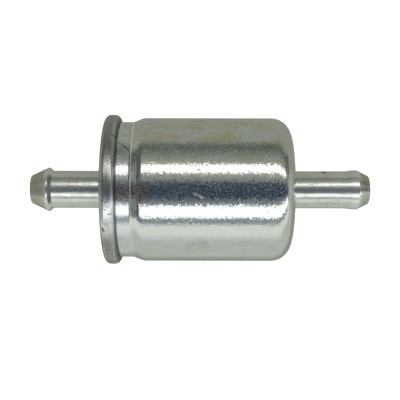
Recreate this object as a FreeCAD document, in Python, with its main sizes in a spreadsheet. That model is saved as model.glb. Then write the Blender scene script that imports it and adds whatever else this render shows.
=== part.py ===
"""In-line metal fuel filter: a drawn steel can closed by a double-seamed cover, a hose spigot at each
end and a pleated paper element inside.

Frame: +X runs along the flow, from the inlet spigot to the outlet spigot; +Z is up; the origin is on
the filter's axis, half way between the two spigot tips.  Lengths are millimetres.
"""
import FreeCAD, Part
import math
import os
import Sketcher

# Driving dimensions: name, value, meaning.  A position is a distance along X from the origin.
DIMENSIONS = (
    ("metal", 0.5, "thickness of the steel sheet of can and cover"),
    ("can_dia", 30.52, "outside of the can"),
    ("can_end", 19.24, "outer face of the can's closed end"),
    ("can_end_round", 4.2, "outer radius between the can's wall and its end"),
    ("neck_dia", 28.84, "outside of the can's reduced neck"),
    ("neck_step", -14.05, "where the neck starts to widen"),
    ("neck_slope", 22, "slope of the widening, in degrees"),
    ("neck_round", 0.8, "hollow radius at the foot of the widening"),
    ("body_round", 3, "outer radius at the top of the widening"),
    ("seam_left", -19.93, "free end of the double seam"),
    ("seam_right", -16.85, "end of the double seam on the neck"),
    ("seam_left_round", 1.05, "outer radius of the seam's free end"),
    ("seam_right_round", 1.15, "outer radius of the seam's other end, away from the neck"),
    ("hook_round", 0.3, "outer radius where the cover's hook turns back along the neck"),
    ("hook_play", 0.45, "space between a hook's end and the bend it points at"),
    ("cover_face", -16.3, "outer face of the sunken cover panel"),
    ("cover_round", 0.5, "inner radius between the cover's panel and its wall"),
    ("tip", 36.0, "distance of a spigot's tip from the origin"),
    ("tube_dia", 8.0, "outside of a spigot behind its bead"),
    ("bore_dia", 5.0, "fuel bore of a spigot"),
    ("nose_dia", 5.96, "outside of a spigot at its tip"),
    ("nose_round", 0.42, "edge radius at a spigot's tip"),
    ("bead_round", 0.3, "edge radius of a bead's crest"),
    ("shoulder_dia", 12.0, "collar of a spigot inside the can"),
    ("shoulder_thick", 1.0, "thickness of that collar"),
    ("inlet_bead_dia", 9.36, "crest of the inlet bead"),
    ("inlet_crest_out", 32.4, "tip side of the inlet crest"),
    ("inlet_crest_in", 32.1, "can side of the inlet crest"),
    ("inlet_bead_foot", 31.35, "where the inlet bead starts"),
    ("inlet_stub", 13.8, "inner end of the inlet spigot"),
    ("outlet_bead_dia", 8.44, "crest of the outlet bead"),
    ("outlet_crest_out", 33.5, "tip side of the outlet crest"),
    ("outlet_crest_in", 32.6, "can side of the outlet crest"),
    ("outlet_bead_foot", 31.0, "where the outlet bead starts"),
    ("outlet_stub", 14.0, "inner end of the outlet spigot"),
    ("braze", 0.7, "leg of the brazing fillet round a spigot"),
    ("cap_dia", 26.4, "outside of the element's end caps"),
    ("cap_metal", 0.35, "sheet of the end caps"),
    ("cap_rim", 3.2, "depth of the end caps' rims"),
    ("cap_round", 0.8, "outer radius of the end caps' edge"),
    ("closed_cap", -9.4, "outer face of the closed end cap"),
    ("open_cap", 16.6, "outer face of the open end cap"),
    ("collar_dia", 11.0, "inside of the open cap's collar"),
    ("collar_depth", 2.2, "depth of the open cap's collar"),
    ("collar_round", 0.6, "entry radius of the open cap's collar"),
    ("flange_dia", 16.0, "flange of the rubber grommet"),
    ("flange_round", 0.3, "edge radius of that flange"),
    ("potting", 1.5, "depth of the adhesive in an end cap"),
    ("core_dia", 12.7, "outside of the perforated core tube"),
    ("core_metal", 0.25, "sheet of the core tube"),
    ("core_hole", 2.0, "holes of the core tube"),
    ("core_rows", 7, "rows of holes along the core tube"),
    ("core_pitch", 3.0, "spacing of those rows"),
    ("screen", 0.15, "thickness of the mesh screen on the core"),
    ("sleeve_dia", 25.6, "outside of the perforated outer sleeve"),
    ("sleeve_metal", 0.25, "sheet of the outer sleeve"),
    ("sleeve_hole", 3.0, "holes of the outer sleeve"),
    ("sleeve_rows", 5, "rows of holes along the outer sleeve"),
    ("sleeve_pitch", 4.4, "spacing of those rows"),
    ("hole_sets", 5, "holes round half of the core tube"),
    ("sleeve_sets", 7, "holes round half of the outer sleeve"),
    ("pleats", 24, "pleats of the paper"),
    ("paper", 0.4, "thickness of the paper"),
    ("fold", 0.5, "outer radius of a paper fold"),
    ("peak", 16.2, "radius where the middle lines of two flanks meet outside"),
    ("valley", 5.53, "radius where the middle lines of two flanks meet inside"),
    ("clip_metal", 0.25, "sheet of the clip that closes the paper"),
    ("clip_leg", 2.2, "how far the clip reaches down from the corner of the outer fold"),
    ("star_metal", 0.5, "sheet of the centring star"),
    ("star_hub_dia", 16.4, "hub of the centring star"),
    ("star_hole_dia", 6.0, "hole in that hub"),
    ("star_arms", 4, "arms of the star"),
    ("star_width", 4.0, "width of an arm"),
    ("star_reach", 13.7, "radius of the arms' outer faces"),
    ("star_tip", -14.9, "free ends of the arms, inside the neck"),
    ("star_round", 0.8, "outer bend radius of an arm"),
    ("spring_dia", 14.0, "mean diameter of the spring"),
    ("spring_wire", 0.9, "wire of the spring"),
    ("spring_turns", 3.25, "turns of the spring"),
)

doc = FreeCAD.newDocument("fuel_filter")
sheet = doc.addObject("Spreadsheet::Sheet", "dims")
for row, (name, value, meaning) in enumerate(DIMENSIONS, start=1):
    sheet.set(f"A{row}", name)
    sheet.set(f"B{row}", str(value))
    sheet.set(f"C{row}", meaning)
    sheet.setAlias(f"B{row}", name)
doc.recompute()

# Lengths that several pieces share, as expressions over the sheet.
CAN_RADIUS = "dims.can_dia / 2"
NECK_RADIUS = "dims.neck_dia / 2"
CAN_FLOOR = "dims.can_end - dims.metal"
COVER_BACK = "dims.cover_face + dims.metal"
TUBE_RADIUS = "dims.tube_dia / 2"
BORE_RADIUS = "dims.bore_dia / 2"
CAP_RADIUS = "dims.cap_dia / 2"
CLOSED_CAP_BACK = "dims.closed_cap + dims.cap_metal"
OPEN_CAP_BACK = "dims.open_cap - dims.cap_metal"
CORE_RADIUS = "dims.core_dia / 2"
ELEMENT_LENGTH = f"{OPEN_CAP_BACK} - ({CLOSED_CAP_BACK})"
PAPER_START = f"{CLOSED_CAP_BACK} + dims.potting"
PAPER_LENGTH = f"{ELEMENT_LENGTH} - 2 * dims.potting"

# Radii of the seam's layers, each one sheet further out than the last: the cover's inner wall, the
# neck, the cover's hook, the can's hook and the cover's outer wall.
WALL_INSIDE = f"({NECK_RADIUS} - 2 * dims.metal)"
NECK_INSIDE = f"({NECK_RADIUS} - dims.metal)"
CAN_HOOK_INSIDE = f"({NECK_RADIUS} + dims.metal)"
CAN_HOOK_OUTSIDE = f"({NECK_RADIUS} + 2 * dims.metal)"
SEAM_RADIUS = f"({NECK_RADIUS} + 3 * dims.metal)"
CAN_BEND = "dims.seam_left + dims.metal"
CAN_BEND_INSIDE = "dims.seam_left + 2 * dims.metal"
COVER_BEND_INSIDE = "dims.seam_right - dims.metal"


def number(expression):
    """The value of an expression over the sheet."""
    return float(sheet.evalExpression(expression))


def origin_feature(body, role):
    """A plane or an axis of the body's own origin."""
    return next(item for item in body.Origin.OriginFeatures if item.Role == role)


def new_body(name):
    """An empty body whose label names its file."""
    body = doc.addObject("PartDesign::Body", name)
    body.Label = name
    return body


def new_sketch(body, name, plane):
    """A sketch on one of the body's origin planes."""
    sketch = body.newObject("Sketcher::SketchObject", name)
    sketch.AttachmentSupport = [(origin_feature(body, plane), "")]
    sketch.MapMode = "FlatFace"
    return sketch


def bind(sketch, constraint, name, expression):
    """Adds a constraint whose value follows an expression."""
    index = sketch.addConstraint(constraint)
    sketch.renameConstraint(index, name)
    sketch.setExpression(f".Constraints.{name}", expression)


def place(sketch, geometry, position, name, x, y):
    """Ties a point of the sketch to two coordinates, each an expression."""
    bind(sketch, Sketcher.Constraint("DistanceX", -1, 1, geometry, position, number(x)), f"{name}_x", x)
    bind(sketch, Sketcher.Constraint("DistanceY", -1, 1, geometry, position, number(y)), f"{name}_y", y)


def circle(sketch, name, x, y, diameter):
    """A circle about a point, all three values expressions."""
    centre = FreeCAD.Vector(number(x), number(y), 0)
    index = sketch.addGeometry(Part.Circle(centre, FreeCAD.Vector(0, 0, 1), number(diameter) / 2))
    place(sketch, index, 3, name, x, y)
    bind(sketch, Sketcher.Constraint("Diameter", index, number(diameter)), f"{name}_dia", diameter)


def rounding(before, corner, after, radius):
    """The arc that rounds a corner, its ends on the two sides, and whether it runs backwards."""
    to_before = (before - corner).normalize()
    to_after = (after - corner).normalize()
    half = to_before.getAngle(to_after) / 2
    reach = radius / math.tan(half)
    ends = [corner + to_before * reach, corner + to_after * reach]
    centre = corner + (to_before + to_after).normalize() * (radius / math.sin(half))
    angles = [math.atan2(end.y - centre.y, end.x - centre.x) for end in ends]
    backwards = to_before.cross(to_after).z > 0
    if backwards:
        angles.reverse()
    arc = Part.ArcOfCircle(Part.Circle(centre, FreeCAD.Vector(0, 0, 1), radius), *angles)
    return arc, ends, backwards


def outline(sketch, corners):
    """A closed outline of straight sides.

    Each corner is (x, y) or, where it is rounded, (x, y, radius); all are expressions.
    """
    points = [FreeCAD.Vector(number(corner[0]), number(corner[1]), 0) for corner in corners]
    total = len(points)
    rounded = {}
    for index, corner in enumerate(corners):
        if len(corner) == 3:
            after = points[(index + 1) % total]
            rounded[index] = rounding(points[index - 1], points[index], after, number(corner[2]))
    for index, point in enumerate(points):
        following = (index + 1) % total
        start = rounded[index][1][1] if index in rounded else point
        end = rounded[following][1][0] if following in rounded else points[following]
        sketch.addGeometry(Part.LineSegment(start, end))
    for index, corner in enumerate(corners):
        before = (index - 1) % total
        if index not in rounded:
            sketch.addConstraint(Sketcher.Constraint("Coincident", before, 2, index, 1))
            place(sketch, index, 1, f"corner{index}", corner[0], corner[1])
            continue
        arc, _, backwards = rounded[index]
        arc_index = sketch.addGeometry(arc)
        point_index = sketch.addGeometry(Part.Point(points[index]), True)
        first, second = (2, 1) if backwards else (1, 2)
        place(sketch, point_index, 1, f"corner{index}", corner[0], corner[1])
        sketch.addConstraint([
            Sketcher.Constraint("PointOnObject", point_index, 1, before),
            Sketcher.Constraint("PointOnObject", point_index, 1, index),
            Sketcher.Constraint("Tangent", before, 2, arc_index, first),
            Sketcher.Constraint("Tangent", arc_index, second, index, 1),
        ])
        bind(sketch, Sketcher.Constraint("Radius", arc_index, arc.Radius), f"round{index}", corner[2])


def revolve(body, sketch):
    """Turns a sketch of the XZ plane about the filter's axis."""
    turn = body.newObject("PartDesign::Revolution", f"{body.Label}_turn")
    turn.Profile = sketch
    turn.ReferenceAxis = (sketch, ["H_Axis"])
    turn.Angle = 360
    sketch.Visibility = False
    return turn


def turned(name, corners):
    """A body of revolution about X, from an outline in X and radius."""
    body = new_body(name)
    sketch = new_sketch(body, f"{name}_profile", "XZ_Plane")
    outline(sketch, corners)
    revolve(body, sketch)
    return body


def pad(body, sketch, name, length, midplane=False):
    """Extrudes a sketch by an expression."""
    feature = body.newObject("PartDesign::Pad", name)
    feature.Profile = sketch
    feature.Midplane = midplane
    feature.setExpression("Length", length)
    return feature


def pattern_round(body, feature, name, count, angle=360):
    """Repeats a feature about the filter's axis."""
    polar = body.newObject("PartDesign::PolarPattern", name)
    polar.Originals = [feature]
    polar.Axis = (origin_feature(body, "X_Axis"), [""])
    polar.Angle = angle
    polar.setExpression("Occurrences", count)
    body.Tip = polar
    return polar


def can_shell():
    """The drawn can: hook in the seam, neck, wall, rounded end with the outlet's hole."""
    slope_shift = "dims.metal * tan(dims.neck_slope / 2)"
    step_end = f"dims.neck_step + ({CAN_RADIUS} - {NECK_RADIUS}) / tan(dims.neck_slope)"
    hook_end = f"{COVER_BEND_INSIDE} - dims.hook_play"
    inner_bend = "dims.seam_left_round - 2 * dims.metal"
    return turned("can_shell", [
        (hook_end, CAN_HOOK_OUTSIDE),
        (CAN_BEND, CAN_HOOK_OUTSIDE, "dims.seam_left_round - dims.metal"),
        (CAN_BEND, NECK_INSIDE, "dims.seam_left_round - dims.metal"),
        (f"dims.neck_step + {slope_shift}", NECK_INSIDE, "dims.neck_round + dims.metal"),
        (f"{step_end} + {slope_shift}", f"{CAN_RADIUS} - dims.metal", "dims.body_round - dims.metal"),
        (CAN_FLOOR, f"{CAN_RADIUS} - dims.metal", "dims.can_end_round - dims.metal"),
        (CAN_FLOOR, TUBE_RADIUS),
        ("dims.can_end", TUBE_RADIUS),
        ("dims.can_end", CAN_RADIUS, "dims.can_end_round"),
        (step_end, CAN_RADIUS, "dims.body_round"),
        ("dims.neck_step", NECK_RADIUS, "dims.neck_round"),
        (CAN_BEND_INSIDE, NECK_RADIUS, inner_bend),
        (CAN_BEND_INSIDE, CAN_HOOK_INSIDE, inner_bend),
        (hook_end, CAN_HOOK_INSIDE),
    ])


def inlet_cover():
    """The pressed cover: hook under the can's hook, outer wall, inner wall and sunken panel."""
    hook_end = f"{CAN_BEND_INSIDE} + dims.hook_play"
    return turned("inlet_cover", [
        (hook_end, NECK_RADIUS),
        ("dims.seam_right", NECK_RADIUS, "dims.hook_round"),
        ("dims.seam_right", SEAM_RADIUS, "dims.seam_right_round"),
        ("dims.seam_left", SEAM_RADIUS, "dims.seam_left_round"),
        ("dims.seam_left", WALL_INSIDE, "dims.seam_left_round"),
        ("dims.cover_face", WALL_INSIDE, "dims.cover_round"),
        ("dims.cover_face", TUBE_RADIUS),
        (COVER_BACK, TUBE_RADIUS),
        (COVER_BACK, NECK_INSIDE, "dims.cover_round + dims.metal"),
        (CAN_BEND, NECK_INSIDE, "dims.seam_left_round - dims.metal"),
        (CAN_BEND, CAN_HOOK_OUTSIDE, "dims.seam_left_round - dims.metal"),
        (COVER_BEND_INSIDE, CAN_HOOK_OUTSIDE, "dims.hook_play"),
        (COVER_BEND_INSIDE, CAN_HOOK_INSIDE),
        (hook_end, CAN_HOOK_INSIDE),
    ])


def seam_compound():
    """Sealing compound between the end of the cover's hook and the bend of the can's hook."""
    bend = "dims.seam_left_round - 2 * dims.metal"
    hook_end = f"{CAN_BEND_INSIDE} + dims.hook_play"
    return turned("seam_compound", [
        (hook_end, NECK_RADIUS),
        (hook_end, CAN_HOOK_INSIDE),
        (CAN_BEND_INSIDE, CAN_HOOK_INSIDE, bend),
        (CAN_BEND_INSIDE, NECK_RADIUS, bend),
    ])


def spigot(side, collar_face):
    """A turned hose spigot along +X: nose, bead, tube, and a collar that lies inside the can."""
    collar_back = f"{collar_face} - dims.shoulder_thick"
    return turned(f"{side}_spigot", [
        (f"dims.{side}_stub", BORE_RADIUS),
        ("dims.tip", BORE_RADIUS),
        ("dims.tip", "dims.nose_dia / 2", "dims.nose_round"),
        (f"dims.{side}_crest_out", f"dims.{side}_bead_dia / 2", "dims.bead_round"),
        (f"dims.{side}_crest_in", f"dims.{side}_bead_dia / 2", "dims.bead_round"),
        (f"dims.{side}_bead_foot", TUBE_RADIUS),
        (collar_face, TUBE_RADIUS),
        (collar_face, "dims.shoulder_dia / 2"),
        (collar_back, "dims.shoulder_dia / 2"),
        (collar_back, TUBE_RADIUS),
        (f"dims.{side}_stub", TUBE_RADIUS),
    ])


def braze_ring(side, face):
    """The fillet of brazing metal outside, between a spigot and the sheet it passes through."""
    return turned(f"{side}_braze_ring", [
        (face, TUBE_RADIUS),
        (f"{face} + dims.braze", TUBE_RADIUS),
        (face, f"{TUBE_RADIUS} + dims.braze"),
    ])


def turn_to_inlet(body):
    """Turns a body that was made along +X to point along -X."""
    body.Placement = FreeCAD.Placement(FreeCAD.Vector(), FreeCAD.Rotation(FreeCAD.Vector(0, 0, 1), 180))
    return body


def closed_cap():
    """The end cap on the inlet side: a plain cup that closes the element."""
    rim_end = "dims.closed_cap + dims.cap_rim"
    inside = f"{CAP_RADIUS} - dims.cap_metal"
    return turned("closed_end_cap", [
        ("dims.closed_cap", "0"),
        ("dims.closed_cap", CAP_RADIUS, "dims.cap_round"),
        (rim_end, CAP_RADIUS),
        (rim_end, inside),
        (CLOSED_CAP_BACK, inside, "dims.cap_round - dims.cap_metal"),
        (CLOSED_CAP_BACK, "0"),
    ])


def open_cap():
    """The end cap on the outlet side: a cup with a collar that holds the grommet."""
    rim_end = "dims.open_cap - dims.cap_rim"
    inside = f"{CAP_RADIUS} - dims.cap_metal"
    collar_end = "dims.open_cap - dims.collar_depth"
    collar_outside = "dims.collar_dia / 2 + dims.cap_metal"
    return turned("open_end_cap", [
        ("dims.open_cap", "dims.collar_dia / 2", "dims.collar_round"),
        ("dims.open_cap", CAP_RADIUS, "dims.cap_round"),
        (rim_end, CAP_RADIUS),
        (rim_end, inside),
        (OPEN_CAP_BACK, inside, "dims.cap_round - dims.cap_metal"),
        (OPEN_CAP_BACK, collar_outside, "dims.collar_round - dims.cap_metal"),
        (collar_end, collar_outside),
        (collar_end, "dims.collar_dia / 2"),
    ])


def outlet_grommet():
    """The rubber seal between the outlet spigot's stub and the open cap's collar."""
    collar_end = "dims.open_cap - dims.collar_depth"
    collar_back = f"{CAN_FLOOR} - dims.shoulder_thick"
    return turned("outlet_grommet", [
        (collar_end, TUBE_RADIUS),
        (collar_back, TUBE_RADIUS),
        (collar_back, "dims.flange_dia / 2", "dims.flange_round"),
        ("dims.open_cap", "dims.flange_dia / 2", "dims.flange_round"),
        ("dims.open_cap", "dims.collar_dia / 2", "dims.collar_round"),
        (collar_end, "dims.collar_dia / 2"),
    ])


def ring(name, start, length, inside_diameter, outside_diameter):
    """A plain tube or disc, made at its own origin and set along X by its placement."""
    body = new_body(name)
    sketch = new_sketch(body, f"{name}_section", "YZ_Plane")
    circle(sketch, "outside", "0", "0", outside_diameter)
    circle(sketch, "inside", "0", "0", inside_diameter)
    pad(body, sketch, f"{name}_pad", length)
    body.setExpression(".Placement.Base.x", start)
    return body


def perforate(body, hole, rows, pitch, sets, length):
    """Rows of round holes through both walls of a ring."""
    name = body.Label
    sketch = new_sketch(body, f"{name}_hole", "XY_Plane")
    circle(sketch, "hole", f"({length}) / 2 - ({rows} - 1) * {pitch} / 2", "0", hole)
    pocket = body.newObject("PartDesign::Pocket", f"{name}_pocket")
    pocket.Profile = sketch
    pocket.Type = "ThroughAll"
    pocket.Midplane = True
    line = body.newObject("PartDesign::LinearPattern", f"{name}_rows")
    line.Direction = (origin_feature(body, "X_Axis"), [""])
    line.setExpression("Occurrences", rows)
    line.setExpression("Length", f"({rows} - 1) * {pitch}")
    polar = body.newObject("PartDesign::PolarPattern", f"{name}_round")
    polar.Axis = (origin_feature(body, "X_Axis"), [""])
    polar.Angle = 180
    polar.setExpression("Occurrences", sets)
    both = body.newObject("PartDesign::MultiTransform", f"{name}_holes")
    both.Originals = [pocket]
    both.Transformations = [line, polar]
    body.Tip = both


def core_tube():
    """The perforated steel tube that holds the paper open against the flow."""
    inside = "dims.core_dia - 2 * dims.core_metal"
    body = ring("core_tube", CLOSED_CAP_BACK, ELEMENT_LENGTH, inside, "dims.core_dia")
    perforate(body, "dims.core_hole", "dims.core_rows", "dims.core_pitch", "dims.hole_sets", ELEMENT_LENGTH)
    return body


def outer_sleeve():
    """The perforated guard round the paper."""
    inside = "dims.sleeve_dia - 2 * dims.sleeve_metal"
    body = ring("outer_sleeve", PAPER_START, PAPER_LENGTH, inside, "dims.sleeve_dia")
    rows = "dims.sleeve_rows"
    perforate(body, "dims.sleeve_hole", rows, "dims.sleeve_pitch", "dims.sleeve_sets", PAPER_LENGTH)
    return body


# The zigzag of the paper, seen along X.  One fold lies on +Z; HALF_PITCH is the angle to the next
# inner fold, FLANK the angle between a flank and +Z, and INNER_FLANK the same at an inner fold.
HALF_PITCH = "(180 deg / dims.pleats)"
FLANK = (
    f"atan(dims.valley * sin({HALF_PITCH}) / (dims.peak - dims.valley * cos({HALF_PITCH})))"
)
INNER_FLANK = f"({FLANK} + {HALF_PITCH})"


def paper_unit():
    """One pleat, from the middle of a flank over the outer and the inner fold to the next flank."""
    half = "dims.paper / 2"
    peak_reach = f"{half} / sin({FLANK})"
    valley_reach = f"{half} / sin({INNER_FLANK})"
    valley_out = f"(dims.valley + {valley_reach})"
    valley_in = f"(dims.valley - {valley_reach})"
    start_x = f"-dims.valley * sin({HALF_PITCH}) / 2"
    start_y = f"(dims.valley * cos({HALF_PITCH}) + dims.peak) / 2"
    end_x = f"(dims.valley * sin({HALF_PITCH}) + dims.peak * sin(2 * {HALF_PITCH})) / 2"
    end_y = f"(dims.valley * cos({HALF_PITCH}) + dims.peak * cos(2 * {HALF_PITCH})) / 2"
    side_x = f"{half} * cos({FLANK})"
    side_y = f"{half} * sin({FLANK})"
    end_side_x = f"{half} * cos({FLANK} + 2 * {HALF_PITCH})"
    end_side_y = f"{half} * sin({FLANK} + 2 * {HALF_PITCH})"
    inner_fold = "dims.fold - dims.paper"
    return [
        (f"{start_x} - {side_x}", f"{start_y} + {side_y}"),
        ("0", f"dims.peak + {peak_reach}", "dims.fold"),
        (f"{valley_out} * sin({HALF_PITCH})", f"{valley_out} * cos({HALF_PITCH})", inner_fold),
        (f"{end_x} - {end_side_x}", f"{end_y} + {end_side_y}"),
        (f"{end_x} + {end_side_x}", f"{end_y} - {end_side_y}"),
        (f"{valley_in} * sin({HALF_PITCH})", f"{valley_in} * cos({HALF_PITCH})", "dims.fold"),
        ("0", f"dims.peak - {peak_reach}", inner_fold),
        (f"{start_x} + {side_x}", f"{start_y} - {side_y}"),
    ]


def pleated_paper():
    """The filter paper: one pleat extruded along X and repeated round the axis."""
    body = new_body("pleated_paper")
    sketch = new_sketch(body, "pleat_section", "YZ_Plane")
    outline(sketch, paper_unit())
    pleat = pad(body, sketch, "pleat", PAPER_LENGTH)
    pattern_round(body, pleat, "pleats", "dims.pleats")
    body.setExpression(".Placement.Base.x", PAPER_START)
    return body


def paper_clip():
    """The folded strip that joins the paper's two ends over one outer fold."""
    body = new_body("paper_clip")
    sketch = new_sketch(body, "clip_section", "YZ_Plane")
    inner = f"(dims.peak + dims.paper / 2 / sin({FLANK}))"
    outer = f"(dims.peak + (dims.paper / 2 + dims.clip_metal) / sin({FLANK}))"
    foot = f"({inner} - dims.fold / sin({FLANK}) + dims.fold - dims.clip_leg)"
    inner_x = f"({inner} - {foot}) * tan({FLANK})"
    outer_x = f"({outer} - {foot}) * tan({FLANK})"
    outline(sketch, [
        (f"-{outer_x}", foot),
        ("0", outer, "dims.fold + dims.clip_metal"),
        (outer_x, foot),
        (inner_x, foot),
        ("0", inner, "dims.fold"),
        (f"-{inner_x}", foot),
    ])
    pad(body, sketch, "clip", PAPER_LENGTH)
    body.setExpression(".Placement.Base.x", PAPER_START)
    return body


def centring_star():
    """The sprung star that centres the element in the neck and carries the spring."""
    hub_front = "dims.closed_cap - dims.star_metal"
    body = turned("centring_star", [
        (hub_front, "dims.star_hole_dia / 2"),
        ("dims.closed_cap", "dims.star_hole_dia / 2"),
        ("dims.closed_cap", "dims.star_hub_dia / 2"),
        (hub_front, "dims.star_hub_dia / 2"),
    ])
    sketch = new_sketch(body, "arm_section", "XZ_Plane")
    root = "dims.star_hub_dia / 2 - dims.star_width / 4"
    outline(sketch, [
        ("dims.closed_cap", root),
        ("dims.closed_cap", "dims.star_reach", "dims.star_round"),
        ("dims.star_tip", "dims.star_reach"),
        ("dims.star_tip", "dims.star_reach - dims.star_metal"),
        (hub_front, "dims.star_reach - dims.star_metal", "dims.star_round - dims.star_metal"),
        (hub_front, root),
    ])
    arm = pad(body, sketch, "arm", "dims.star_width", midplane=True)
    pattern_round(body, arm, "arms", "dims.star_arms")
    return body


def preload_spring():
    """The coil spring between the cover and the star."""
    body = new_body("preload_spring")
    sketch = new_sketch(body, "wire_section", "XZ_Plane")
    start = f"{COVER_BACK} + dims.spring_wire / 2"
    circle(sketch, "wire", start, "dims.spring_dia / 2", "dims.spring_wire")
    helix = body.newObject("PartDesign::AdditiveHelix", "spring_coil")
    helix.Profile = sketch
    helix.ReferenceAxis = (sketch, ["H_Axis"])
    helix.Mode = "height-turns-angle"
    helix.setExpression("Turns", "dims.spring_turns")
    room = f"(dims.closed_cap - dims.star_metal) - ({COVER_BACK})"
    helix.setExpression("Height", f"{room} - dims.spring_wire")
    return body


def potting(side, cap_back, direction):
    """The adhesive that fills an end cap's cup; direction is the side of the cap that the cup opens to."""
    inside = f"{CORE_RADIUS} + dims.screen"
    outside = f"{CAP_RADIUS} - dims.cap_metal"
    surface = f"{cap_back} {direction} dims.potting"
    return turned(f"{side}_potting", [
        (cap_back, inside),
        (cap_back, outside, "dims.cap_round - dims.cap_metal"),
        (surface, outside),
        (surface, inside),
    ])


bodies = [
    can_shell(),
    inlet_cover(),
    seam_compound(),
    turn_to_inlet(spigot("inlet", f"-({COVER_BACK})")),
    spigot("outlet", CAN_FLOOR),
    turn_to_inlet(braze_ring("inlet", "-dims.cover_face")),
    braze_ring("outlet", "dims.can_end"),
    closed_cap(),
    open_cap(),
    outlet_grommet(),
    core_tube(),
    ring("core_screen", CLOSED_CAP_BACK, ELEMENT_LENGTH, "dims.core_dia", "dims.core_dia + 2 * dims.screen"),
    pleated_paper(),
    paper_clip(),
    outer_sleeve(),
    potting("inlet", CLOSED_CAP_BACK, "+"),
    potting("outlet", OPEN_CAP_BACK, "-"),
    centring_star(),
    preload_spring(),
]
doc.recompute()

failed = [item.Name for item in doc.Objects if {"Invalid", "Error"} & set(item.State)]
failed += [body.Label for body in bodies if not body.Shape.isValid() or len(body.Shape.Solids) != 1]
if failed:
    raise SystemExit("failed objects: " + ", ".join(failed))

os.makedirs("parts", exist_ok=True)
for body in bodies:
    body.Shape.exportStep(f"parts/{body.Label}.step")
    print(f"{body.Label:17s}{body.Shape.Volume:9.1f} mm3")
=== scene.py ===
"""Looks of the in-line metal fuel filter: a finish for every piece, a studio and a camera.

Metres, in the CAD frame: +X along the flow, +Z up, the origin on the axis between the spigot tips.
Inside the materials lengths are millimetres.
"""
import math
import bpy
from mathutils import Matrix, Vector


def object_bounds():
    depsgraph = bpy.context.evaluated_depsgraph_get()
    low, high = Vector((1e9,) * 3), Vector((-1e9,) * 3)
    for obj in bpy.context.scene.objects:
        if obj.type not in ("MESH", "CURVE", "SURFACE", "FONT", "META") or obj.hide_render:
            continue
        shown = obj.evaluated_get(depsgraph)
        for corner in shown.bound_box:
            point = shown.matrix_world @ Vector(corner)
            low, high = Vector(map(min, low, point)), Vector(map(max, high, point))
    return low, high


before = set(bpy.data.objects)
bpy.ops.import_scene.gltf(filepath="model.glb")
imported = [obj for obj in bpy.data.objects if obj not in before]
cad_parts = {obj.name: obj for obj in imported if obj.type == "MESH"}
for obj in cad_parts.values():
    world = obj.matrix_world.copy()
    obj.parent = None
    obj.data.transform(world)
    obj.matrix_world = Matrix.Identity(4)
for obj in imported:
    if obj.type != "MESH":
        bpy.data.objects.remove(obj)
cad_low, cad_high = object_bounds()
MILLIMETRE = 0.001

# The camera looks along +Y, level and a little below the filter's axis. The roll is in degrees, and
# the view's width is measured at the axis.
CAMERA_DISTANCE = 0.169
CAMERA_DROP = 0.00224
CAMERA_ROLL = -0.13
VIEW_WIDTH = 0.0859
SENSOR_WIDTH = 36.0


def make_camera():
    """A camera square to the filter's side, close enough for a strong perspective."""
    data = bpy.data.cameras.new("camera")
    data.sensor_width = SENSOR_WIDTH
    data.lens = SENSOR_WIDTH * CAMERA_DISTANCE / VIEW_WIDTH
    camera = bpy.data.objects.new("camera", data)
    camera.location = (0, -CAMERA_DISTANCE, -CAMERA_DROP)
    camera.rotation_euler = (math.radians(90), math.radians(CAMERA_ROLL), 0)
    bpy.context.collection.objects.link(camera)
    bpy.context.scene.camera = camera


# --- Node helpers ---------------------------------------------------------------------------------


def add_node(tree, kind, settings=None, **inputs):
    """A shader node; inputs are named by socket, or i0, i1, ... by position."""
    node = tree.nodes.new(kind)
    for key, value in (settings or {}).items():
        setattr(node, key, value)
    for key, value in inputs.items():
        by_position = key[0] == "i" and key[1:].isdigit()
        socket = node.inputs[int(key[1:]) if by_position else key.replace("_", " ")]
        if isinstance(value, bpy.types.NodeSocket):
            tree.links.new(value, socket)
        else:
            socket.default_value = value
    return node


def calculate(tree, operation, first, second=0.0, third=0.0):
    """The result of one arithmetic step."""
    node = add_node(tree, "ShaderNodeMath", {"operation": operation}, i0=first, i1=second, i2=third)
    return node.outputs[0]


def spread(tree, value, low, high, to_low=0.0, to_high=1.0):
    """A value eased from one range to another."""
    node = add_node(
        tree, "ShaderNodeMapRange", {"interpolation_type": "SMOOTHSTEP"}, Value=value, From_Min=low,
        From_Max=high, To_Min=to_low, To_Max=to_high,
    )
    return node.outputs[0]


def blend(tree, factor, first, second):
    """Two colours mixed by a factor; each colour is (red, green, blue) or a socket."""
    node = add_node(tree, "ShaderNodeMix", {"data_type": "RGBA"}, i0=factor)
    # Sockets 6 and 7 of a mix node are its two colours, and output 2 is their mix.
    for index, value in ((6, first), (7, second)):
        if isinstance(value, bpy.types.NodeSocket):
            tree.links.new(value, node.inputs[index])
        else:
            node.inputs[index].default_value = (*value, 1)
    return node.outputs[2]


# --- Studio ---------------------------------------------------------------------------------------

# The room that the plating reflects: dark behind the camera, a pale table below, and a grey ceiling
# with a darker beam. Angles are in degrees round the filter's axis, from straight ahead (towards the
# camera), positive overhead and negative below.
DARK = (0.03, 0.05, 0.08)
CEILING = (0.28, 0.30, 0.26)
BEAM = (0.10, 0.12, 0.10)
GAP = (0.22, 0.26, 0.28)
TABLE = (0.48, 0.52, 0.48)
TABLE_EDGE = (0.74, 0.79, 0.74)
ROOM = (
    (-180, CEILING), (-150, CEILING), (-130, TABLE), (-90, TABLE), (-75, TABLE_EDGE), (-60, TABLE_EDGE),
    (-54, GAP), (-22, GAP), (-14, DARK), (8, DARK), (18, CEILING), (44, CEILING), (66, BEAM), (72, BEAM),
    (84, CEILING), (180, CEILING),
)
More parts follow.
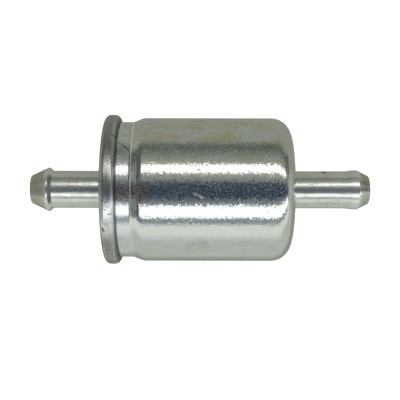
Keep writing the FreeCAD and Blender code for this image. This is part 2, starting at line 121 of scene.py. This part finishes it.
# Two dark cards, one towards each end of the filter. Each has four soft edges, as (nothing, full):
# the inner and outer ones in the direction's x, the lower and upper ones in radians round the axis.
CARD = (0.07, 0.09, 0.08)
INLET_CARD = ((-0.16, -0.34), (-0.78, -0.66), (-1.05, -0.85), (1.35, 1.15))
OUTLET_CARD = ((0.73, 0.85), (0.93, 0.86), (-0.4, -0.2), (1.85, 1.45))
# The end walls, and where each begins in the direction's x, as (nothing, full).
INLET_WALL = (0.30, 0.31, 0.28)
INLET_WALL_EDGE = (-0.80, -0.90)
OUTLET_WALL = (0.40, 0.42, 0.40)
OUTLET_WALL_EDGE = (0.94, 0.99)
# What the camera and matt surfaces see instead of the room.
WHITE = (1.2, 1.2, 1.2)
# The floor's drop is measured from the filter's lowest point, the soft boxes' distance from its axis.
FLOOR_DROP = 0.25
FLOOR_HALF_SIZE = 3.0
FLOOR_COLOUR = (0.95, 0.95, 0.95)
BOX_DISTANCE = 0.6
# Watts per square metre of an area light that looks as bright as white.
POWER_FOR_WHITE = math.pi


def zones(tree, position, stops):
    """Colours by position round the axis, 0 to 1 for -180 to 180 degrees."""
    ramp = add_node(tree, "ShaderNodeValToRGB", Fac=position)
    elements = ramp.color_ramp.elements
    while len(elements) < len(stops):
        elements.new(0.5)
    for element, (angle, colour) in zip(elements, stops):
        element.position = (angle + 180) / 360
        element.color = (*colour, 1)
    return ramp.outputs["Color"]


def make_room():
    """A plain room round the filter, with grey end walls and a dark card on each side."""
    world = bpy.data.worlds.new("studio")
    bpy.context.scene.world = world
    world.use_nodes = True
    tree = world.node_tree
    tree.nodes.clear()
    direction = add_node(tree, "ShaderNodeTexCoord").outputs["Generated"]
    axes = add_node(tree, "ShaderNodeSeparateXYZ", Vector=direction).outputs
    ahead = calculate(tree, "MULTIPLY", axes["Y"], -1.0)
    turn = calculate(tree, "ARCTAN2", axes["Z"], ahead)
    position = calculate(tree, "MULTIPLY_ADD", turn, 0.5 / math.pi, 0.5)
    light = zones(tree, position, ROOM)
    for card in (INLET_CARD, OUTLET_CARD):
        cover = 1.0
        for value, edge in zip((axes["X"], axes["X"], turn, turn), card):
            cover = calculate(tree, "MULTIPLY", cover, spread(tree, value, *edge))
        light = blend(tree, cover, light, CARD)
    light = blend(tree, spread(tree, axes["X"], *INLET_WALL_EDGE), light, INLET_WALL)
    light = blend(tree, spread(tree, axes["X"], *OUTLET_WALL_EDGE), light, OUTLET_WALL)
    rays = add_node(tree, "ShaderNodeLightPath").outputs
    plain = calculate(tree, "MAXIMUM", rays["Is Camera Ray"], rays["Is Diffuse Ray"])
    colour = blend(tree, plain, light, WHITE)
    background = add_node(tree, "ShaderNodeBackground", Color=colour)
    output = add_node(tree, "ShaderNodeOutputWorld")
    tree.links.new(background.outputs[0], output.inputs["Surface"])


def make_floor():
    """A plain pale floor below the filter."""
    side = FLOOR_HALF_SIZE
    mesh = bpy.data.meshes.new("floor")
    corners = [(-side, -side, 0), (side, -side, 0), (side, side, 0), (-side, side, 0)]
    mesh.from_pydata(corners, [], [(0, 1, 2, 3)])
    floor = bpy.data.objects.new("floor", mesh)
    floor.location = (0, 0, cad_low[2] - FLOOR_DROP)
    floor.visible_glossy = False
    bpy.context.collection.objects.link(floor)
    material = bpy.data.materials.new("pale_floor")
    material.use_nodes = True
    shader = material.node_tree.nodes["Principled BSDF"]
    shader.inputs["Base Color"].default_value = (*FLOOR_COLOUR, 1)
    shader.inputs["Roughness"].default_value = 1.0
    shader.inputs["Specular IOR Level"].default_value = 0.0
    mesh.materials.append(material)


def make_soft_box(name, low, high, ends, level):
    """A long soft box between two angles round the axis, in degrees, and two x.

    It looks as bright as the level, where 1 is white.
    """
    middle = math.radians((low + high) / 2)
    width = 2 * BOX_DISTANCE * math.tan(math.radians((high - low) / 2))
    length = ends[1] - ends[0]
    data = bpy.data.lights.new(name, "AREA")
    data.shape = "RECTANGLE"
    data.size = length
    data.size_y = width
    data.energy = level * POWER_FOR_WHITE * length * width
    light = bpy.data.objects.new(name, data)
    outward = Vector((0, -math.cos(middle), math.sin(middle)))
    light.location = outward * BOX_DISTANCE + Vector(((ends[0] + ends[1]) / 2, 0, 0))
    light.rotation_euler = outward.to_track_quat("Z", "Y").to_euler()
    light.visible_camera = False
    bpy.context.collection.objects.link(light)


# --- Finishes -------------------------------------------------------------------------------------

# Radii in millimetres: the outside of the can and the cover lies beyond the first, the outside of the
# spigots beyond the second.
CAN_SKIN = 14.2
SPIGOT_SKIN = 3.9
# Places along the axis in millimetres: the rim's middle, the neck's end, where the can begins to widen,
# the thin line just past it that carries a painted highlight for the crease's reflection, and how far
# from the middle the crests of the beads are.
RIM_MIDDLE = -18.4
NECK_END = -13.9
CREASE_HIGHLIGHT = -13.75
INLET_CREST = 32.4
OUTLET_CREST = 33.8

# Marks on the camera's side, as (start, end, width, soft) of a stroke; points are (x, z).
CAN_SCRATCH = ((-16.6, 9.5), (-13.9, 7.3), 0.12, 0.5)
# The scratch's glint is a painted highlight: a white line along its edge.
SCRATCH_PAINTED_HIGHLIGHT = ((-16.4, 9.1), (-14.1, 7.2), 0.16, 0.5)
NECK_SPOT = ((-16.81, 13.25), (-16.81, 12.5), 0.25, 0.5)
FLECK = ((-0.55, 3.75), (-0.05, 3.65), 0.2, 0.5)
SCUFF = ((-1.6, -0.8), (0.9, -1.9), 0.42, 0.1)
SMUDGE = ((-3.4, -12.0), (2.2, -10.9), 1.4, 0.2)
YELLOWED = ((-15.0, 14.4), (-14.7, 7.6), 1.5, 0.2)
RIM_PITS = (((-18.1, -5.1), (-17.75, -5.1), 0.18, 0.5), ((-17.6, -5.15), (-17.4, -4.9), 0.15, 0.5))
RIM_NICK = ((-19.3, -7.6), (-19.0, -8.7), 0.25, 0.5)
RIM_SCRATCH = ((-18.1, 11.0), (-16.4, 10.0), 0.12, 0.5)
OUTLET_STAIN = ((25.7, 3.75), (26.9, 3.6), 0.3, 0.1)
# Rusty stains, as (middle, half size), each (x, z): on the neck and on the can just past it.
RUST_STAINS = (((-15.2, -0.8), (2.4, 2.2)), ((-11.0, -0.9), (1.5, 2.4)))

# Stretches of a noise: even, drawn out along the filter, and drawn out round it.
EVEN = (1.0, 1.0, 1.0)
ALONG = (0.06, 1.0, 1.0)
AROUND = (1.0, 0.06, 0.06)


class Finish:
    """A node material, with the surface's own place on the filter in millimetres.

    It starts from a base colour, and coats cover it one after the other. Marks made by handling lie
    outside the radius called skin, on the camera's side. The values are set on the shader itself.
    """

    def __init__(self, name, base, skin=0.0, **values):
        self.material = bpy.data.materials.new(name)
        self.material.use_nodes = True
        self.tree = self.material.node_tree
        self.shader = self.tree.nodes["Principled BSDF"]
        self.colour = base
        for key, value in values.items():
            self.shader.inputs[key.replace("_", " ")].default_value = value
        place = add_node(self.tree, "ShaderNodeTexCoord").outputs["Object"]
        self.place = self.vector("SCALE", i0=place, Scale=1 / MILLIMETRE)
        axes = add_node(self.tree, "ShaderNodeSeparateXYZ", Vector=self.place).outputs
        self.x, self.y, self.z = axes["X"], axes["Y"], axes["Z"]
        squares = self.math("ADD", self.times(self.y, self.y), self.times(self.z, self.z))
        self.radius = self.math("SQRT", squares)
        outside = self.math("GREATER_THAN", self.radius, skin)
        self.front = self.times(outside, self.math("LESS_THAN", self.y, 0.0))

    def math(self, *terms):
        return calculate(self.tree, *terms)

    def spread(self, *terms):
        return spread(self.tree, *terms)

    def blend(self, *terms):
        return blend(self.tree, *terms)

    def vector(self, operation, **inputs):
        """The result of one step of vector arithmetic."""
        return add_node(self.tree, "ShaderNodeVectorMath", {"operation": operation}, **inputs).outputs[0]

    def times(self, first, second):
        return self.math("MULTIPLY", first, second)

    def most(self, *values):
        """The greatest of some values."""
        result = values[0]
        for value in values[1:]:
            result = self.math("MAXIMUM", result, value)
        return result

    def away(self, value, middle):
        """How far a value lies from the middle."""
        return self.math("ABSOLUTE", self.math("SUBTRACT", value, middle))

    def total(self, *terms, more=None):
        """The sum of (value, weight) pairs, and of something more."""
        result = 0.0
        for value, weight in terms:
            result = self.math("MULTIPLY_ADD", value, weight, result)
        return result if more is None else self.math("ADD", result, more)

    def noise(self, scale, detail=2.0, stretch=EVEN, roughness=0.5):
        """Noise of a fineness per millimetre; a small stretch draws it out along that axis."""
        place = add_node(self.tree, "ShaderNodeMapping", Vector=self.place, Scale=stretch).outputs[0]
        node = add_node(
            self.tree, "ShaderNodeTexNoise", Vector=place, Scale=scale, Detail=detail, Roughness=roughness
        )
        return node.outputs["Fac"]

    def patches(self, scale, low, high, detail=4.0, stretch=EVEN):
        """Soft-edged patches from 0 to 1 where the noise lies above a level."""
        return self.spread(self.noise(scale, detail, stretch, 0.55), low, high)

    def edges(self):
        """How far the surface bends outwards; about 0.5 where it is flat."""
        return add_node(self.tree, "ShaderNodeNewGeometry").outputs["Pointiness"]

    def stroke(self, start, end, width, soft):
        """A mask of a mark on the camera's side between two points, each (x, z).

        The width is the distance from its middle line to its edge; soft is the share that stays full.
        """
        along_x, along_z = end[0] - start[0], end[1] - start[1]
        length = math.hypot(along_x, along_z)
        along_x, along_z = along_x / length, along_z / length
        x = self.math("SUBTRACT", self.x, (start[0] + end[0]) / 2)
        z = self.math("SUBTRACT", self.z, (start[1] + end[1]) / 2)
        along = self.math("MULTIPLY_ADD", x, along_x, self.times(z, along_z))
        across = self.math("MULTIPLY_ADD", z, along_x, self.times(x, -along_z))
        near = self.spread(self.math("ABSOLUTE", across), width * soft, width, 1.0, 0.0)
        within = self.spread(self.math("ABSOLUTE", along), length * 0.3, length * 0.5, 1.0, 0.0)
        return self.times(self.times(near, within), self.front)

    def rust(self, middle, size):
        """A speckled mask of a rusty stain on the camera's side; middle and half size are (x, z)."""
        across = self.math("DIVIDE", self.math("SUBTRACT", self.x, middle[0]), size[0])
        up = self.math("DIVIDE", self.math("SUBTRACT", self.z, middle[1]), size[1])
        reach = self.math("MULTIPLY_ADD", across, across, self.times(up, up))
        near = self.spread(reach, 0.0, 1.4, 0.9, 0.0)
        specks = self.spread(self.noise(1.6, 3.0), 0.25, 0.65, 0.2, 1.0)
        return self.times(self.times(near, specks), self.front)

    def coat(self, mask, colour, strength=None):
        """Covers the colour so far with another where the mask is, fully or less strongly."""
        factor = mask if strength is None else self.times(mask, strength)
        self.colour = self.blend(factor, self.colour, colour)

    def peel(self, scale, strength):
        """Orange peel: small tilts of the surface in every direction, of a fineness per millimetre."""
        node = add_node(self.tree, "ShaderNodeTexNoise", Vector=self.place, Scale=scale, Detail=0.0)
        tilt = self.vector("SUBTRACT", i0=node.outputs["Color"], i1=(0.5, 0.5, 0.5))
        return self.vector("SCALE", i0=tilt, Scale=strength)

    def complete(self, rough, height, depth, peel=None, **sockets):
        """The material, once all is linked; height, 0 to 1, bends the surface over a depth."""
        distance = depth * MILLIMETRE
        bent = add_node(self.tree, "ShaderNodeBump", Height=height, Strength=1.0, Distance=distance)
        normal = bent.outputs[0]
        if peel:
            normal = self.vector("NORMALIZE", i0=self.vector("ADD", i0=normal, i1=peel))
        sockets.update(Base_Color=self.colour, Roughness=rough, Normal=normal)
        for key, value in sockets.items():
            self.tree.links.new(value, self.shader.inputs[key.replace("_", " ")])
        return self.material


def can_finish():
    """Bright zinc on the drawn can: orange peel, blotches above, a blue-white neck, marks, painted shade
    by the cover and painted highlights.
    """
    finish = Finish("zinc_can", (0.80, 0.81, 0.80), CAN_SKIN)
    on_top = finish.spread(finish.z, 2.0, 11.0, 0.25, 1.0)
    past_neck = finish.spread(finish.x, -13.5, -11.5, 0.3, 1.0)
    blotch = finish.patches(0.30, 0.42, 0.66, 5.0, (0.55, 1.0, 1.0))
    blotch = finish.times(blotch, finish.times(on_top, past_neck))
    finish.coat(blotch, (0.74, 0.72, 0.53))
    cloud = finish.patches(0.5, 0.48, 0.7, stretch=(0.4, 1.0, 1.0))
    finish.coat(cloud, (0.88, 0.88, 0.87), 0.5)
    blue_neck = finish.spread(finish.x, NECK_END, -13.5, 0.85, 0.0)
    finish.coat(blue_neck, (0.85, 0.87, 0.90))
    yellowed = finish.times(finish.stroke(*YELLOWED), finish.patches(0.7, 0.36, 0.56))
    finish.coat(yellowed, (0.76, 0.75, 0.57), 0.7)
    specks = finish.patches(1.6, 0.68, 0.74, 2.0)
    finish.coat(specks, (0.42, 0.42, 0.38), 0.5)
    # Painted shade: the neck darkens towards the cover, where shade falls in the gap between the parts.
    neck_crevice_shade = finish.spread(finish.x, -16.45, -16.75, 0.0, 0.8)
    finish.coat(neck_crevice_shade, (0.16, 0.17, 0.16))
    scratch = finish.stroke(*CAN_SCRATCH)
    dark = finish.most(scratch, finish.stroke(*NECK_SPOT), finish.stroke(*FLECK))
    finish.coat(dark, (0.05, 0.05, 0.045), 0.95)
    # Painted highlight: a white line along the scratch's edge.
    finish.coat(finish.stroke(*SCRATCH_PAINTED_HIGHLIGHT), (0.95, 0.95, 0.95))
    scuff = finish.times(finish.stroke(*SCUFF), finish.patches(1.8, 0.42, 0.52))
    finish.coat(scuff, (0.86, 0.86, 0.84))
    smudge = finish.times(finish.stroke(*SMUDGE), finish.patches(0.9, 0.38, 0.58))
    finish.coat(smudge, (0.62, 0.66, 0.74), 0.6)
    rust = finish.most(*(finish.rust(*stain) for stain in RUST_STAINS))
    finish.coat(rust, (0.60, 0.38, 0.31))

    uneven = finish.spread(finish.noise(1.1, 5.0), 0.3, 0.7, 0.085, 0.13)
    neck = finish.spread(finish.x, NECK_END, -13.4, 1.0, 0.0)
    rough = finish.total(
        (blotch, 0.05), (scuff, 0.45), (specks, 0.2), (neck, 0.07), (uneven, 1.0), (rust, 0.14)
    )
    # Haze takes away from the metal's mirror: in fine grains, in the rust and on the thin line past the
    # neck, where the matt light it lets in is a painted highlight for the crease's reflection.
    grains = finish.spread(finish.noise(4.6, 0.0), 0.54, 0.70, 0.0, 0.18)
    painted_crease_highlight = finish.spread(finish.away(finish.x, CREASE_HIGHLIGHT), 0.04, 0.16, 0.24, 0.0)
    haze = finish.total((grains, 1.0), (rust, 0.02), (painted_crease_highlight, 1.0))
    drawn = finish.noise(5.0, 1.0, ALONG)
    height = finish.total((drawn, 0.04), (scratch, -0.5), (scuff, 0.4))
    strength = finish.spread(finish.noise(0.8, stretch=(0.5, 1.0, 1.0)), 0.3, 0.7, 0.08, 0.15)
    metallic = finish.math("SUBTRACT", 1.0, haze)
    return finish.complete(rough, height, 0.022, finish.peel(3.8, strength), Metallic=metallic)


def cover_finish():
    """The rolled cover: satin from the seaming rolls, streaked round the rim, rubbed at its edges, with
    painted highlight bands and painted shade by the neck.
    """
    finish = Finish("zinc_cover", (0.34, 0.35, 0.33), CAN_SKIN, Metallic=0.93)
    streaks = finish.noise(2.6, 4.0, AROUND, 0.65)
    finish.coat(finish.spread(streaks, 0.36, 0.64), (0.50, 0.51, 0.49))
    patches = finish.patches(0.45, 0.4, 0.65, 5.0)
    finish.coat(patches, (0.42, 0.41, 0.35), 0.4)
    # Painted highlight: lighter, smoother bands at the heights where the soft boxes reflect, mottled like
    # wear.
    below = finish.spread(finish.away(finish.z, -5.0), 2.0, 6.0, 1.0, 0.0)
    above = finish.spread(finish.away(finish.z, 4.6), 1.0, 3.2, 0.5, 0.0)
    worn = finish.spread(finish.noise(0.9, 3.0), 0.25, 0.5, 0.6, 1.0)
    mottled_highlight = finish.times(finish.most(below, above), worn)
    finish.coat(mottled_highlight, (0.86, 0.87, 0.85))
    crest = finish.spread(finish.radius, 15.55, 15.9)
    ends = finish.spread(finish.away(finish.x, RIM_MIDDLE), 0.6, 1.1)
    rub = finish.times(finish.times(crest, ends), finish.patches(0.8, 0.35, 0.6))
    finish.coat(rub, (0.82, 0.82, 0.80))
    # Painted shade: the rim darkens on its inner side by the neck, where shade falls in the gap between
    # the parts.
    by_neck = finish.spread(finish.x, -17.15, -16.95)
    rim_crevice_shade = finish.times(by_neck, finish.spread(finish.radius, 15.7, 15.3))
    finish.coat(rim_crevice_shade, (0.14, 0.15, 0.14), 0.8)
    specks = finish.times(finish.patches(1.3, 0.67, 0.73, 2.0), 0.6)
    marks = [finish.stroke(*mark) for mark in (*RIM_PITS, RIM_NICK, RIM_SCRATCH)]
    dark = finish.most(*marks, specks)
    finish.coat(dark, (0.10, 0.10, 0.09), 0.85)

    rough = finish.total(
        (streaks, 0.16), (patches, 0.06), (rub, -0.08), (mottled_highlight, -0.09), (dark, 0.2), more=0.17
    )
    dents, rolled = finish.noise(3.6), finish.noise(6.0, 3.0, AROUND)
    height = finish.total((dents, 1.0), (rolled, 0.5), (streaks, 0.3), (dark, -0.6))
    return finish.complete(rough, height, 0.04)


def spigot_finish(name, crest, stain=None):
    """A turned and plated spigot: bright tube, and beyond the bead's crest at +-x a rougher nose painted
    olive, a painted reflection of the dim room its cone faces.
    """
    finish = Finish(name, (0.80, 0.81, 0.78), SPIGOT_SKIN, Metallic=0.88)
    blotch = finish.patches(0.5, 0.4, 0.65, 5.0)
    finish.coat(blotch, (0.74, 0.74, 0.66))
    turned = finish.noise(7.0, 3.0, AROUND)
    # Painted reflection: the nose is the tube's plating, painted a darker olive that stands in for the
    # dim room its cone reflects.
    olive = finish.blend(finish.spread(turned, 0.35, 0.65), (0.46, 0.46, 0.38), (0.57, 0.57, 0.48))
    nose = finish.spread(finish.math("ABSOLUTE", finish.x), crest - 0.1, crest + 0.7)
    finish.coat(nose, olive)
    bright = finish.math("MULTIPLY_ADD", nose, -0.7, 0.8)
    bead = finish.times(finish.spread(finish.radius, 4.05, 4.2), bright)
    finish.coat(bead, (0.86, 0.87, 0.85))
    dark = finish.times(finish.patches(1.9, 0.68, 0.74, 2.0), 0.6)
    if stain:
        dark = finish.most(dark, finish.stroke(*stain))
    finish.coat(dark, (0.20, 0.20, 0.17))

    rough = finish.total((nose, 0.09), (blotch, 0.03), (turned, 0.06), (dark, 0.15), more=0.14)
    drawn, dents = finish.noise(5.0, stretch=ALONG), finish.noise(3.0)
    height = finish.total((drawn, 0.7), (turned, 0.25), (dents, 0.5), (dark, -0.4))
    return finish.complete(rough, height, 0.025)


def sheet_finish(name, light, dark, rough, lines=ALONG, depth=0.006):
    """Satin sheet or wire inside the filter: rolling lines, stains and bright worn edges."""
    finish = Finish(name, light, Metallic=1.0)
    stain = finish.patches(0.35, 0.4, 0.66, 5.0)
    finish.coat(stain, dark)
    rolled = finish.noise(5.0, 3.0, lines)
    finish.coat(finish.spread(rolled, 0.4, 0.7), dark, 0.35)
    wear = finish.times(finish.spread(finish.edges(), 0.51, 0.56), finish.patches(1.2, 0.3, 0.6))
    finish.coat(wear, (0.86, 0.86, 0.85))
    rough = finish.total((rolled, 0.14), (stain, 0.08), (wear, -0.1), more=rough)
    height = finish.total((rolled, 0.7), (finish.noise(2.5), 0.6))
    return finish.complete(rough, height, depth)


def braze_finish():
    """Brazing metal under the plating: close to the plate's colour, duller, smooth from flowing."""
    finish = Finish("braze", (0.74, 0.74, 0.69), Metallic=1.0)
    flow = finish.noise(0.7)
    finish.coat(finish.spread(flow, 0.35, 0.65), (0.66, 0.64, 0.56))
    scale = finish.patches(0.5, 0.5, 0.72, 3.0)
    finish.coat(scale, (0.46, 0.45, 0.38), 0.35)
    rough = finish.total((flow, 0.08), (scale, 0.1), (finish.noise(4.0), 0.05), more=0.14)
    height = finish.total((flow, 1.0), (finish.noise(3.0), 0.15))
    return finish.complete(rough, height, 0.03)


def rubber_finish(name, light, dark, rough):
    """Matte rubber or cured compound: fine grain, dusty patches, a faint sheen."""
    finish = Finish(name, dark, Sheen_Weight=0.25, Sheen_Roughness=0.5)
    dust = finish.patches(0.5, 0.42, 0.68, 5.0)
    finish.coat(dust, light)
    grain = finish.noise(4.5, 4.0, roughness=0.65)
    finish.coat(grain, dark, 0.4)
    finish.coat(finish.spread(finish.edges(), 0.51, 0.58), light, 0.5)
    rough = finish.total((grain, 0.15), (dust, 0.12), more=rough)
    height = finish.total((grain, 1.0), (finish.noise(1.2), 1.4))
    return finish.complete(rough, height, 0.02)


def paper_finish():
    """Resin-cured paper: matted fibres, mottled ochre, darker where the resin gathered."""
    finish = Finish("filter_paper", (0.72, 0.56, 0.27), Sheen_Weight=0.2, Sheen_Roughness=0.6)
    fibres = finish.noise(3.2, 5.0, (0.35, 1.0, 1.0), 0.7)
    finish.coat(finish.spread(fibres, 0.35, 0.65), (0.86, 0.73, 0.45))
    crossed = finish.noise(3.8, 5.0, (1.0, 0.4, 0.4), 0.7)
    finish.coat(finish.spread(crossed, 0.4, 0.7), (0.90, 0.80, 0.56), 0.5)
    resin = finish.patches(0.3, 0.4, 0.68)
    finish.coat(resin, (0.58, 0.40, 0.16), 0.45)
    rough = finish.total((fibres, 0.2), (resin, -0.12), more=0.72)
    height = finish.total((fibres, 1.0), (crossed, 0.8))
    return finish.complete(rough, height, 0.05)


def mesh_finish():
    """Woven nylon: crossing threads, one set along the screen and one round it."""
    thread_pitch = 0.5
    threads_round = 80.0
    finish = Finish("mesh", (0.50, 0.49, 0.44), Sheen_Weight=0.3, Sheen_Roughness=0.4)
    turn = finish.math("ARCTAN2", finish.z, finish.y)
    along = finish.math("SINE", finish.times(finish.x, 2 * math.pi / thread_pitch))
    around = finish.math("SINE", finish.times(turn, threads_round))
    threads = finish.spread(finish.times(along, around), -0.6, 0.6)
    finish.coat(threads, (0.90, 0.90, 0.86))
    dirt = finish.patches(0.4, 0.42, 0.7)
    finish.coat(dirt, (0.55, 0.50, 0.40), 0.4)
    fuzz = finish.noise(5.0)
    rough = finish.total((threads, -0.2), (fuzz, 0.1), (dirt, 0.1), more=0.55)
    height = finish.total((threads, 1.0), (fuzz, 0.2))
    return finish.complete(rough, height, 0.06)


def paint_all():
    """Gives each slot of the frame its material."""
    braze = braze_finish()
    tin = sheet_finish("tinplate", (0.70, 0.71, 0.70), (0.54, 0.54, 0.50), 0.16, AROUND)
    perforated = sheet_finish("perforated_steel", (0.64, 0.65, 0.64), (0.44, 0.43, 0.40), 0.24, AROUND)
    spring = sheet_finish("spring_steel", (0.48, 0.48, 0.48), (0.26, 0.25, 0.24), 0.26, depth=0.01)
    potting = rubber_finish("potting", (0.42, 0.15, 0.10), (0.22, 0.06, 0.04), 0.42)
    finishes = {
        "can_shell": can_finish(),
        "inlet_cover": cover_finish(),
        "inlet_spigot": spigot_finish("zinc_inlet_spigot", INLET_CREST),
        "outlet_spigot": spigot_finish("zinc_outlet_spigot", OUTLET_CREST, OUTLET_STAIN),
        "seam_compound": rubber_finish("sealing_compound", (0.16, 0.16, 0.15), (0.05, 0.05, 0.05), 0.5),
        "inlet_braze_ring": braze,
        "outlet_braze_ring": braze,
        "closed_end_cap": tin,
        "open_end_cap": tin,
        "inlet_potting": potting,
        "outlet_potting": potting,
        "pleated_paper": paper_finish(),
        "paper_clip": tin,
        "core_tube": perforated,
        "core_screen": mesh_finish(),
        "outer_sleeve": perforated,
        "outlet_grommet": rubber_finish("seal_rubber", (0.11, 0.11, 0.11), (0.025, 0.025, 0.025), 0.45),
        "centring_star": spring,
        "preload_spring": spring,
    }
    for name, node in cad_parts.items():
        for item in node.material_slots:
            item.material = finishes[name]


make_camera()
bpy.context.scene.view_settings.view_transform = "Standard"
make_room()
make_floor()
make_soft_box("upper_box", low=25, high=38, ends=(-0.15, 0.95), level=1.35)
make_soft_box("lower_box", low=-45.5, high=-25.5, ends=(-0.32, 1.7), level=1.15)
paint_all()
